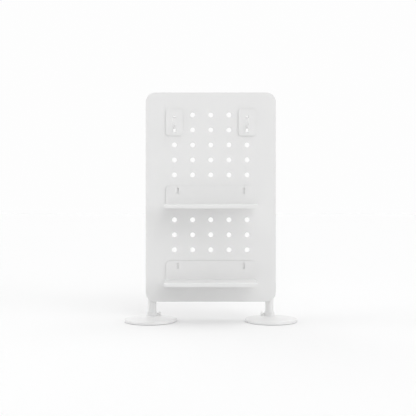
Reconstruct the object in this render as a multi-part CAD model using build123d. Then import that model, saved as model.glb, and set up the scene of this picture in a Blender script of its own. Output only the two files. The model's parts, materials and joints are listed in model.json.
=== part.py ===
"""Free-standing pegboard tool wall of powder-coated sheet steel.

A perforated panel is bolted to the front of two round posts. Each post stands
in a socket at the back of a round foot and is held there by a thumb screw. Two
shelves and two hooks hang in the peg holes and lift off.

Frame: millimetres, +Z up, the front of the wall faces -Y. The origin lies on
the floor, under the middle of the wall's bounding box.
"""
from build123d import *
import math
import os

# ---------------------------------------------------------------- panel
SHEET = 1.5                 # thickness of every piece of sheet steel
PANEL_W = 301.0
PANEL_H = 484.0
PANEL_CORNER_R = 22.0
PANEL_Z = 40.0              # height of the panel's lower edge above the floor
PEG_R = 5.6                 # radius of a peg hole
PEG_COLUMNS = 5
PEG_ROWS = 12
PEG_PITCH_X = 42.0
PEG_PITCH_Z = 34.65
PEG_TOP_MARGIN = 52.0       # from the panel's top edge to the first row of holes
EDGE_R = 0.4                # softened edge of the sheet

# ---------------------------------------------------------------- posts
POST_X = 136.5
POST_R = 9.5
POST_WALL = 1.2
POST_TOP = 506.0
SADDLE_T = 1.5              # saddle between the panel and the post, at its thinnest
SADDLE_W = 14.0
SADDLE_H = 16.0
SADDLE_DEPTH = 4.5
BOLT_Z = (80.0, 282.0, 484.0)
STUD_R = 2.5
STUD_HOLE_R = 2.7
WASHER_R = 6.0
WASHER_T = 1.5              # curved washer behind the post, at its thinnest
NUT_FLATS = 8.0
NUT_HEX_H = 4.5
NUT_DOME_R = 3.6
NUT_H = 8.0
NUT_BORE_DEPTH = 6.3
CAP_HEAD_H = 3.0
CAP_SHANK_L = 10.0

# ---------------------------------------------------------------- feet
DISC_R = 59.0
DISC_T = 5.0
PAD_R = 57.0
PAD_T = 1.0
FOOT_REACH = 44.5           # from the post's axis forward to the disc's centre
RUNNING = 0.05              # radial clearance of a turning fit
SOCKET_R = 11.75
SOCKET_H = 9.0
SOCKET_WELD = 1.0           # weld at the foot of the socket
POST_LIFT = 0.2             # the tube's end stands this far off the disc
SCREW_R = 1.95
SCREW_HOLE_R = 2.0
SCREW_Z = 11.0
SCREW_TIP_GAP = 0.3
KNOB_R = 4.0
KNOB_L = 5.0
KNOB_STANDOFF = 3.5
KNOB_FLUTES = 18
KNOB_FLUTE_R = 0.45

# ---------------------------------------------------------------- hanging
BACK_GAP = 0.7              # between a hung plate and the panel
NOSE_GAP = 0.4              # between the panel's back and a blade's nose
LIFT = 3.3                  # how far a hung piece lifts before its blades are free
NOSE_DROP = LIFT - 0.3      # how far a blade's nose reaches down behind the panel
NOSE_T = 2.5                # thickness of the nose
BLADE_LEAD = 1.0            # slanted corners of the nose

# ---------------------------------------------------------------- shelves
SHELF_W = 207.5
SHELF_DEPTH = 76.0          # from the panel's face to the front of the lip
SHELF_BACK_H = 43.5         # back plate above the tray
SHELF_LIP_H = 8.8
SHELF_BELOW_ROW = 34.05     # tray surface below the row of holes it hangs from
SHELF_ROWS = {"upper_shelf": 5, "lower_shelf": 10}
BEND_IN_R = 1.0
BACK_CORNER_R = 10.0
LIP_CORNER_R = 5.0
SLOT_X = 76.3
SLOT_W = 4.6
SLOT_H = 13.0
SLOT_RISE = 31.9            # slot's centre above the tray
SHELF_BLADE_X = 80.1        # inner face of a blade, from the middle of the wall
SHELF_BLADE_LOW = -3.6      # underside of a blade's neck, from its row of holes
SHELF_BLADE_HIGH = 0.3

# ---------------------------------------------------------------- hooks
HOOK_X = 84.0
HOOK_PLATE_W = 40.5
HOOK_PLATE_H = 62.0
HOOK_PLATE_R = 7.0
HOOK_PLATE_Z = 454.7        # centre of the hook plate
HOOK_BLADE_X = 2.9          # inner face of a blade or peg, from the hook's middle
HOOK_BLADE_LOW = -3.0       # underside of its neck, from its row of holes
HOOK_BLADE_HIGH = -0.3
PEG_REACH = 4.0             # how far a lower peg reaches behind the panel's face
WINDOWS = (                 # row, half width, and lower and upper ends from the row
    (0, 3.3, -6.5, -2.1),
    (1, 3.1, -6.5, 2.0),
)
ARM_R = 2.0
ARM_Z = 445.5
ARM_REACH = 50.0            # from the panel's face to the front of the tip
ARM_BEND_R = 7.0
ARM_TIP_Z = 457.6
ARM_WELD_R = 3.2
ARM_WELD_L = 1.2

# ---------------------------------------------------------------- places in depth
# Depths are first counted from the panel's front face, then shifted so that
# the bounding box is centred on the origin.
POST_DEPTH = SHEET + SADDLE_T + POST_R
NUT_DEPTH = POST_DEPTH + POST_R + WASHER_T
REAR_DEPTH = NUT_DEPTH + NUT_H
FRONT_DEPTH = POST_DEPTH - FOOT_REACH - DISC_R
PANEL_Y = -(REAR_DEPTH + FRONT_DEPTH) / 2
POST_Y = PANEL_Y + POST_DEPTH
DISC_Y = POST_Y - FOOT_REACH
DISC_TOP = PAD_T + DISC_T
PLATE_BACK_Y = PANEL_Y - BACK_GAP
PLATE_FRONT_Y = PLATE_BACK_Y - SHEET
SIDES = {"left": -1, "right": 1}


def row_z(row):
    """Height of a row of peg holes, counted from the top."""
    return PANEL_Z + PANEL_H - PEG_TOP_MARGIN - PEG_PITCH_Z * row


def column_x(column):
    return PEG_PITCH_X * (column - (PEG_COLUMNS - 1) / 2)


def front_plane(y):
    """Plane that faces the front; a sketch on it is extruded forwards."""
    return Plane(origin=(0, y, 0), x_dir=(1, 0, 0), z_dir=(0, -1, 0))


def side_plane(x):
    """Plane whose sketch coordinates are depth and height, extruded along +X."""
    return Plane(origin=(x, 0, 0), x_dir=(0, 1, 0), z_dir=(1, 0, 0))


def box_between(low, high):
    """Block given by its lowest and highest corners."""
    size = [b - a for a, b in zip(low, high)]
    centre = [(a + b) / 2 for a, b in zip(low, high)]
    return Pos(*centre) * Box(*size)


def rod_y(x, y_low, y_high, z, radius):
    """Cylinder along Y."""
    length = y_high - y_low
    return Pos(x, (y_low + y_high) / 2, z) * Rot(90, 0, 0) * Cylinder(radius, length)


def rod_z(x, y, z_low, z_high, radius):
    """Cylinder along Z."""
    return Pos(x, y, (z_low + z_high) / 2) * Cylinder(radius, z_high - z_low)


def bolt_places():
    return [(side * POST_X, z) for side in SIDES.values() for z in BOLT_Z]


# ---------------------------------------------------------------- the stand

def make_panel():
    """Flat sheet with round corners and a grid of peg holes."""
    outline = Pos(0, PANEL_Z + PANEL_H / 2) * RectangleRounded(PANEL_W, PANEL_H, PANEL_CORNER_R)
    sheet = extrude(front_plane(PANEL_Y + SHEET) * outline, SHEET)
    rim = sheet.edges().filter_by(Axis.Y, reverse=True)
    sheet = fillet(rim, EDGE_R)
    holes = Sketch() + [
        Pos(column_x(column), row_z(row)) * Circle(PEG_R)
        for column in range(PEG_COLUMNS)
        for row in range(PEG_ROWS)
    ]
    return sheet - extrude(front_plane(PANEL_Y + 2 * SHEET) * holes, 3 * SHEET)


def make_post(side):
    """Round tube, drilled through from front to back for the panel's studs."""
    x = side * POST_X
    bottom = DISC_TOP + POST_LIFT
    tube = rod_z(x, POST_Y, bottom, POST_TOP, POST_R)
    tube -= rod_z(x, POST_Y, bottom - 1, POST_TOP + 1, POST_R - POST_WALL)
    for z in BOLT_Z:
        tube -= rod_y(x, POST_Y - 2 * POST_R, POST_Y + 2 * POST_R, z, STUD_HOLE_R)
    return tube


def make_post_cap(side):
    """Plug with a domed head, pressed into the top of the tube."""
    x = side * POST_X
    head = rod_z(x, POST_Y, POST_TOP, POST_TOP + CAP_HEAD_H, POST_R)
    head = fillet(head.edges().group_by(Axis.Z)[-1], CAP_HEAD_H * 0.8)
    shank_r = POST_R - POST_WALL - RUNNING
    return head + rod_z(x, POST_Y, POST_TOP - CAP_SHANK_L, POST_TOP, shank_r)


def make_stud(x, z):
    """Threaded stud welded to the back of the panel."""
    return rod_y(x, PANEL_Y + SHEET, PANEL_Y + NUT_DEPTH + NUT_BORE_DEPTH - 0.5, z, STUD_R)


def make_saddle(x, z):
    """Spacer that is flat against the panel and hollow against the post."""
    low = (x - SADDLE_W / 2, PANEL_Y + SHEET, z - SADDLE_H / 2)
    high = (x + SADDLE_W / 2, PANEL_Y + SHEET + SADDLE_DEPTH, z + SADDLE_H / 2)
    block = box_between(low, high)
    block -= rod_z(x, POST_Y, z - SADDLE_H, z + SADDLE_H, POST_R)
    return block - rod_y(x, PANEL_Y, POST_Y, z, STUD_HOLE_R)


def make_curved_washer(x, z):
    """Washer that is hollow against the back of the post."""
    back = PANEL_Y + NUT_DEPTH
    disc = rod_y(x, POST_Y, back, z, WASHER_R)
    disc -= rod_z(x, POST_Y, z - 2 * WASHER_R, z + 2 * WASHER_R, POST_R)
    return disc - rod_y(x, POST_Y, back + 1, z, STUD_HOLE_R)


def make_cap_nut(x, z):
    """Hexagon nut with a closed dome."""
    hexagon = extrude(RegularPolygon(NUT_FLATS / 2, 6, major_radius=False), NUT_HEX_H)
    dome = Pos(0, 0, NUT_H - NUT_DOME_R) * Sphere(NUT_DOME_R)
    bore = rod_z(0, 0, -1, NUT_BORE_DEPTH, STUD_R + RUNNING)
    return Pos(x, PANEL_Y + NUT_DEPTH, z) * Rot(-90, 0, 0) * (hexagon + dome - bore)


# ---------------------------------------------------------------- the feet

def make_disc(side):
    """Round steel plate with softened edges."""
    disc = rod_z(side * POST_X, DISC_Y, PAD_T, DISC_TOP, DISC_R)
    disc = fillet(disc.edges().group_by(Axis.Z)[-1], 2 * EDGE_R)
    return fillet(disc.edges().group_by(Axis.Z)[0], EDGE_R)


def make_pad(side):
    """Rubber sheet glued under the disc."""
    return rod_z(side * POST_X, DISC_Y, 0, PAD_T, PAD_R)


def make_socket(side):
    """Ring welded on the disc, with a threaded hole on its inner side."""
    bore_r = POST_R + RUNNING
    top = DISC_TOP + SOCKET_H
    outline = Polyline(
        (bore_r, DISC_TOP),
        (SOCKET_R + SOCKET_WELD, DISC_TOP),
        (SOCKET_R, DISC_TOP + SOCKET_WELD),
        (SOCKET_R, top - EDGE_R),
        (SOCKET_R - EDGE_R, top),
        (bore_r, top),
        close=True,
    )
    ring = revolve(Plane.XZ * make_face(outline), Axis.Z)
    ring = Pos(side * POST_X, POST_Y, 0) * ring
    inner = -side
    drill = Pos(side * POST_X + inner * SOCKET_R, POST_Y, SCREW_Z) * Rot(0, 90, 0)
    return ring - drill * Cylinder(SCREW_HOLE_R, SOCKET_R)


def along_screw(side, start, end, radius):
    """Cylinder on the thumb screw's axis, by its distances from the post's axis."""
    x = side * (POST_X - (start + end) / 2)
    return Pos(x, POST_Y, SCREW_Z) * Rot(0, 90, 0) * Cylinder(radius, end - start)


KNOB_START = SOCKET_R + KNOB_STANDOFF
SCREW_END = KNOB_START + KNOB_L - 1.5


def make_thumb_screw(side):
    """Threaded shank that bears on the post."""
    return along_screw(side, POST_R + SCREW_TIP_GAP, SCREW_END, SCREW_R)


def make_thumb_knob(side):
    """Fluted head moulded on the shank."""
    knob = along_screw(side, KNOB_START, KNOB_START + KNOB_L, KNOB_R)
    knob = chamfer(knob.edges().filter_by(GeomType.CIRCLE), EDGE_R)
    for flute in range(KNOB_FLUTES):
        angle = math.radians(360 * flute / KNOB_FLUTES)
        dy = KNOB_R * math.cos(angle)
        dz = KNOB_R * math.sin(angle)
        groove = along_screw(side, KNOB_START - 1, KNOB_START + KNOB_L + 1, KNOB_FLUTE_R)
        knob -= Pos(0, dy, dz) * groove
    return knob - along_screw(side, KNOB_START - 1, SCREW_END, SCREW_R)


# ---------------------------------------------------------------- hung pieces

def soften(sketch, corner, radius):
    """Round one corner of a sketch."""
    nearest = sketch.vertices().sort_by_distance(corner)[0]
    return fillet(nearest, radius)


def shelf_profile(tray_z):
    """Section of a shelf: back plate, tray and the lip that is bent down."""
    lip_y = PANEL_Y - SHELF_DEPTH
    lip_back = lip_y + SHEET
    top = tray_z + SHELF_BACK_H
    under = tray_z - SHEET
    low = tray_z - SHELF_LIP_H
    section = make_face(Polyline(
        (PLATE_BACK_Y, top), (PLATE_BACK_Y, under), (lip_back, under), (lip_back, low),
        (lip_y, low), (lip_y, tray_z), (PLATE_FRONT_Y, tray_z), (PLATE_FRONT_Y, top),
        close=True,
    ))
    bend_out_r = BEND_IN_R + SHEET
    section = soften(section, (PLATE_BACK_Y, under, 0), bend_out_r)
    section = soften(section, (PLATE_FRONT_Y, tray_z, 0), BEND_IN_R)
    section = soften(section, (lip_y, tray_z, 0), bend_out_r)
    return soften(section, (lip_back, under, 0), BEND_IN_R)


def make_blade(x_low, z, low, high):
    """Strip welded on the back of a hung plate, with a nose behind the panel."""
    nose_front = PANEL_Y + SHEET + NOSE_GAP
    nose_back = nose_front + NOSE_T
    tip = z + low - NOSE_DROP
    outline = Polyline(
        (PLATE_BACK_Y, z + high),
        (nose_back - BLADE_LEAD, z + high),
        (nose_back, z + high - BLADE_LEAD),
        (nose_back, tip + BLADE_LEAD),
        (nose_back - BLADE_LEAD, tip),
        (nose_front, tip),
        (nose_front, z + low),
        (PLATE_BACK_Y, z + low),
        close=True,
    )
    return extrude(side_plane(x_low) * make_face(outline), SHEET)


def make_shelf(row):
    """Bent sheet shelf with two hanging blades."""
    tray_z = row_z(row) - SHELF_BELOW_ROW
    shelf = extrude(side_plane(-SHELF_W / 2) * shelf_profile(tray_z), SHELF_W)
    across = shelf.edges().filter_by(Axis.Y)
    shelf = fillet(across.group_by(Axis.Z)[-1], BACK_CORNER_R)
    across = shelf.edges().filter_by(Axis.Y)
    shelf = fillet(across.group_by(Axis.Z)[0], LIP_CORNER_R)
    for side in SIDES.values():
        slot = Pos(side * SLOT_X, PLATE_BACK_Y, tray_z + SLOT_RISE)
        shelf -= slot * Box(SLOT_W, 4 * SHEET, SLOT_H)
        x_low = min(side * SHELF_BLADE_X, side * (SHELF_BLADE_X + SHEET))
        shelf += make_blade(x_low, row_z(row), SHELF_BLADE_LOW, SHELF_BLADE_HIGH)
    return shelf


def make_hook_plate(side):
    """Small plate with two hanging blades in the first row and two pegs in the second."""
    x = side * HOOK_X
    outline = Pos(x, HOOK_PLATE_Z) * RectangleRounded(HOOK_PLATE_W, HOOK_PLATE_H, HOOK_PLATE_R)
    plate = extrude(front_plane(PLATE_BACK_Y) * outline, SHEET)
    for row, half, low, high in WINDOWS:
        plate -= box_between(
            (x - half, PLATE_FRONT_Y - 1, row_z(row) + low),
            (x + half, PLATE_BACK_Y + 1, row_z(row) + high))
    for x_low in (x - HOOK_BLADE_X - SHEET, x + HOOK_BLADE_X):
        plate += make_blade(x_low, row_z(0), HOOK_BLADE_LOW, HOOK_BLADE_HIGH)
        plate += box_between(
            (x_low, PLATE_BACK_Y, row_z(1) + HOOK_BLADE_LOW),
            (x_low + SHEET, PANEL_Y + PEG_REACH, row_z(1) + HOOK_BLADE_HIGH))
    return plate


def make_hook_arm(side):
    """Round bar welded to the plate, with its tip turned up."""
    x = side * HOOK_X
    tip_y = PANEL_Y - ARM_REACH + ARM_R
    root = (x, PLATE_FRONT_Y, ARM_Z)
    corner = (x, tip_y, ARM_Z)
    end = (x, tip_y, ARM_TIP_Z - ARM_R)
    path = FilletPolyline(root, corner, end, radius=ARM_BEND_R)
    section = Plane(origin=root, z_dir=(0, -1, 0)) * Circle(ARM_R)
    bar = sweep(section, path=path) + Pos(*end) * Sphere(ARM_R)
    weld = Pos(x, PLATE_FRONT_Y - ARM_WELD_L / 2, ARM_Z) * Rot(90, 0, 0)
    return bar + weld * Cone(ARM_WELD_R, ARM_R, ARM_WELD_L)


# ---------------------------------------------------------------- assembly

def build():
    """Every node by name."""
    nodes = {"panel": make_panel()}
    for name, side in SIDES.items():
        nodes[f"{name}_post"] = make_post(side)
        nodes[f"{name}_post_cap"] = make_post_cap(side)
        nodes[f"{name}_foot_disc"] = make_disc(side)
        nodes[f"{name}_foot_pad"] = make_pad(side)
        nodes[f"{name}_foot_socket"] = make_socket(side)
        nodes[f"{name}_thumb_screw"] = make_thumb_screw(side)
        nodes[f"{name}_thumb_knob"] = make_thumb_knob(side)
        nodes[f"{name}_hook_plate"] = make_hook_plate(side)
        nodes[f"{name}_hook_arm"] = make_hook_arm(side)
    for name, row in SHELF_ROWS.items():
        nodes[name] = make_shelf(row)
    groups = {
        "panel_studs": make_stud,
        "post_saddles": make_saddle,
        "curved_washers": make_curved_washer,
        "cap_nuts": make_cap_nut,
    }
    for name, make in groups.items():
        nodes[name] = Compound(children=[make(x, z) for x, z in bolt_places()])
    return nodes


NODES = build()
os.makedirs("parts", exist_ok=True)
for node, shape in NODES.items():
    export_step(shape, f"parts/{node}.step")
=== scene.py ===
"""Looks, light and camera for the pegboard tool wall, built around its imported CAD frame.

Everything is in metres, in the frame's own axes: +Z up, the wall faces -Y.
"""
import json
import math

import bpy
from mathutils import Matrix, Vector


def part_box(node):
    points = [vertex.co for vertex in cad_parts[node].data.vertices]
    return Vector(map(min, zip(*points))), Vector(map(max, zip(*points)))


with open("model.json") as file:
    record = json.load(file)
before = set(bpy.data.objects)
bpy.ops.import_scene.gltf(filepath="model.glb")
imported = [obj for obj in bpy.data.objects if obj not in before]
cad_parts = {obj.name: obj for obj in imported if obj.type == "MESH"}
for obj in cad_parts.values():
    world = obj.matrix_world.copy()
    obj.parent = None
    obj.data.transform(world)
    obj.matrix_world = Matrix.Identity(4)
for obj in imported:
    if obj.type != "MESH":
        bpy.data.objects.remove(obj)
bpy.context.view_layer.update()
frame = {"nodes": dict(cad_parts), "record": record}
NODES = frame["nodes"]

# ---------------------------------------------------------------- driving values
PANEL_FACE_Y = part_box("panel")[0].y

EYE_HEIGHT = 0.2568          # camera above the floor
EYE_DISTANCE = 1.619         # camera in front of the panel's face
EYE_X = -0.0064              # the camera stands a little to the left of the middle
FOCAL_OVER_WIDTH = 700 / 416 # focal length as a share of the picture's width
SENSOR_MM = 36.0

PAINT_WHITE = (0.785, 0.785, 0.783)
FLOOR_WHITE = (0.94, 0.94, 0.94)
FLOOR_HALF = 30.0            # half the floor's width: far enough to meet the backdrop
PAINT_EDGE_R = 0.0005        # how far powder coat rounds a sheet's edge
EDGE_SAMPLES = 4             # rays that find a rounded edge

BACKDROP_LEVEL = 0.985       # what the camera and mirroring metal see around the wall
FILL_LEVEL = 0.14            # what the surroundings throw on everything else
SOFTBOXES = [
    # name, azimuth, elevation and width in degrees, level
    ("overhead", 0, 90, 110, 0.567),
    ("left_side", -90, 12, 35, 0.34),
    ("right_low", 60, 12, 35, 0.234),
    ("front_low", 0, 12, 35, 0.098),
    ("front_right", 30, 35, 35, 0.131),
    ("back_low", 180, 12, 35, 0.055),
    ("back_left", -150, 35, 35, 0.068),
    ("back_right", 120, 62, 35, 0.08),
]


# ---------------------------------------------------------------- node helpers

class Graph:
    """A material's node tree, with short calls for making and joining nodes."""

    def __init__(self, name):
        self.material = bpy.data.materials.new(name)
        self.material.use_nodes = True
        self.tree = self.material.node_tree
        self.shader = self.tree.nodes["Principled BSDF"]

    def add(self, kind, **values):
        node = self.tree.nodes.new(kind)
        for key, value in values.items():
            if hasattr(node, key):
                setattr(node, key, value)
            else:
                node.inputs[key.replace("_", " ")].default_value = value
        return node

    def link(self, source, target):
        self.tree.links.new(source, target)

    def set(self, **values):
        for key, value in values.items():
            self.shader.inputs[key.replace("_", " ")].default_value = value

    def coordinates(self):
        return self.add("ShaderNodeTexCoord").outputs["Object"]

    def noise(self, scale, detail=2.0, roughness=0.5):
        node = self.add("ShaderNodeTexNoise", Scale=scale, Detail=detail, Roughness=roughness)
        self.link(self.coordinates(), node.inputs["Vector"])
        return node.outputs["Fac"]

    def ramp(self, source, low, high):
        """Maps a 0..1 value to low..high."""
        node = self.add("ShaderNodeMapRange")
        node.inputs["To Min"].default_value = low
        node.inputs["To Max"].default_value = high
        self.link(source, node.inputs["Value"])
        return node.outputs["Result"]

    def tint(self, source, dark, light):
        """Mixes two colours by a 0..1 value."""
        node = self.add("ShaderNodeMix", data_type="RGBA")
        node.inputs["A"].default_value = (*dark, 1)
        node.inputs["B"].default_value = (*light, 1)
        self.link(source, node.inputs["Factor"])
        return node.outputs["Result"]

    def bump(self, height, strength, distance, edge_radius=None):
        node = self.add("ShaderNodeBump", Strength=strength, Distance=distance)
        self.link(height, node.inputs["Height"])
        if edge_radius:
            bevel = self.add("ShaderNodeBevel", samples=EDGE_SAMPLES, Radius=edge_radius)
            self.link(bevel.outputs["Normal"], node.inputs["Normal"])
        self.link(node.outputs["Normal"], self.shader.inputs["Normal"])


def scaled(colour, factor):
    return tuple(channel * factor for channel in colour)


# ---------------------------------------------------------------- materials

def powder_coat(name):
    """White polyester powder coat: a fine orange peel and a faint unevenness."""
    g = Graph(name)
    cloud = g.noise(9.0, detail=3.0)
    g.link(g.tint(cloud, scaled(PAINT_WHITE, 0.985), scaled(PAINT_WHITE, 1.015)),
           g.shader.inputs["Base Color"])
    peel = g.noise(850.0, detail=2.0, roughness=0.45)
    g.link(g.ramp(peel, 0.44, 0.58), g.shader.inputs["Roughness"])
    g.set(Specular_IOR_Level=0.4)
    g.bump(peel, strength=0.12, distance=0.00025, edge_radius=PAINT_EDGE_R)
    return g.material


def moulded_plastic(name, colour):
    """Injection-moulded plastic with a spark-eroded texture."""
    g = Graph(name)
    grain = g.noise(2200.0, detail=3.0)
    g.link(g.tint(grain, scaled(colour, 0.96), scaled(colour, 1.02)), g.shader.inputs["Base Color"])
    g.link(g.ramp(grain, 0.38, 0.55), g.shader.inputs["Roughness"])
    g.bump(grain, strength=0.15, distance=0.0001, edge_radius=0.0003)
    return g.material


def sheet_rubber(name, colour):
    """Sheet rubber with a dusty, matt surface."""
    g = Graph(name)
    grain = g.noise(1400.0, detail=4.0)
    g.link(g.tint(grain, scaled(colour, 0.9), colour), g.shader.inputs["Base Color"])
    g.link(g.ramp(grain, 0.7, 0.9), g.shader.inputs["Roughness"])
    g.bump(grain, strength=0.3, distance=0.0002)
    return g.material


def plated_steel(name, colour, low, high):
    """Zinc or nickel plating over turned steel."""
    g = Graph(name)
    g.set(Metallic=1.0)
    haze = g.noise(600.0, detail=4.0)
    g.link(g.tint(haze, scaled(colour, 0.9), colour), g.shader.inputs["Base Color"])
    g.link(g.ramp(haze, low, high), g.shader.inputs["Roughness"])
    g.bump(haze, strength=0.06, distance=0.0001, edge_radius=0.0002)
    return g.material


def make_materials():
    """One material for each slot of the record."""
    return {
        "panel_paint": powder_coat("powder_coat_panel"),
        "post_paint": powder_coat("powder_coat_post"),
        "foot_paint": powder_coat("powder_coat_foot"),
        "shelf_paint": powder_coat("powder_coat_shelf"),
        "hook_paint": powder_coat("powder_coat_hook"),
        "pad_rubber": sheet_rubber("pad_rubber", (0.5, 0.5, 0.495)),
        "cap_plastic": moulded_plastic("cap_plastic", (0.76, 0.76, 0.755)),
        "knob_plastic": moulded_plastic("knob_plastic", (0.9, 0.9, 0.895)),
        "saddle_plastic": moulded_plastic("saddle_plastic", (0.7, 0.7, 0.69)),
        "screw_steel": plated_steel("zinc_screw", (0.62, 0.63, 0.62), 0.25, 0.42),
        "fixing_steel": plated_steel("zinc_fixings", (0.62, 0.63, 0.62), 0.28, 0.45),
        "nut_chrome": plated_steel("nickel_nuts", (0.78, 0.76, 0.72), 0.12, 0.24),
    }


def dress_cad_nodes(materials):
    slots = {entry["node"]: entry["material_slot"] for entry in frame["record"]["subparts"]}
    for name, piece in NODES.items():
        piece.data.materials.clear()
        piece.data.materials.append(materials[slots[name]])


# ---------------------------------------------------------------- the studio

def make_floor():
    """Seamless white sweep: one wide plane under the wall."""
    mesh = bpy.data.meshes.new("floor")
    turns = [(-1, -1), (1, -1), (1, 1), (-1, 1)]
    corners = [(x * FLOOR_HALF, y * FLOOR_HALF, 0) for x, y in turns]
    mesh.from_pydata(corners, [], [(0, 1, 2, 3)])
    floor = bpy.data.objects.new("floor", mesh)
    bpy.context.scene.collection.objects.link(floor)
    g = Graph("floor_sweep")
    paper = g.noise(3.0, detail=2.0)
    g.link(g.tint(paper, scaled(FLOOR_WHITE, 0.998), FLOOR_WHITE), g.shader.inputs["Base Color"])
    g.set(Roughness=1.0, Specular_IOR_Level=0.0)
    mesh.materials.append(g.material)


def make_world():
    """White to the camera and in reflections, and a faint even fill on everything else."""
    world = bpy.data.worlds.new("studio")
    world.use_nodes = True
    tree = world.node_tree
    background = tree.nodes["Background"]
    background.inputs["Color"].default_value = (1, 1, 1, 1)
    path = tree.nodes.new("ShaderNodeLightPath")
    seen = tree.nodes.new("ShaderNodeMath")
    seen.operation = "MAXIMUM"
    level = tree.nodes.new("ShaderNodeMapRange")
    level.inputs["To Min"].default_value = FILL_LEVEL
    level.inputs["To Max"].default_value = BACKDROP_LEVEL
    tree.links.new(path.outputs["Is Camera Ray"], seen.inputs[0])
    tree.links.new(path.outputs["Is Glossy Ray"], seen.inputs[1])
    tree.links.new(seen.outputs["Value"], level.inputs["Value"])
    tree.links.new(level.outputs["Result"], background.inputs["Strength"])
    bpy.context.scene.world = world


def add_softbox(name, azimuth, elevation, width, level):
    """Distant wide lamp. Azimuth 0 is in front of the wall, 90 is on its right."""
    light = bpy.data.lights.new(name, "SUN")
    light.angle = math.radians(width)
    light.energy = math.pi * level
    turn = math.radians(azimuth)
    rise = math.radians(elevation)
    towards = Vector((math.sin(turn) * math.cos(rise), -math.cos(turn) * math.cos(rise), math.sin(rise)))
    lamp = bpy.data.objects.new(name, light)
    lamp.rotation_euler = (-towards).to_track_quat("-Z", "Y").to_euler()
    bpy.context.scene.collection.objects.link(lamp)


def make_lights():
    make_world()
    for softbox in SOFTBOXES:
        add_softbox(*softbox)


def make_camera():
    data = bpy.data.cameras.new("camera")
    data.sensor_width = SENSOR_MM
    data.lens = SENSOR_MM * FOCAL_OVER_WIDTH
    camera = bpy.data.objects.new("camera", data)
    camera.location = (EYE_X, PANEL_FACE_Y - EYE_DISTANCE, EYE_HEIGHT)
    camera.rotation_euler = (math.pi / 2, 0, 0)
    bpy.context.scene.collection.objects.link(camera)
    bpy.context.scene.camera = camera


def make_scene():
    make_camera()
    dress_cad_nodes(make_materials())
    make_floor()
    make_lights()
    bpy.context.scene.view_settings.view_transform = "Standard"


make_scene()
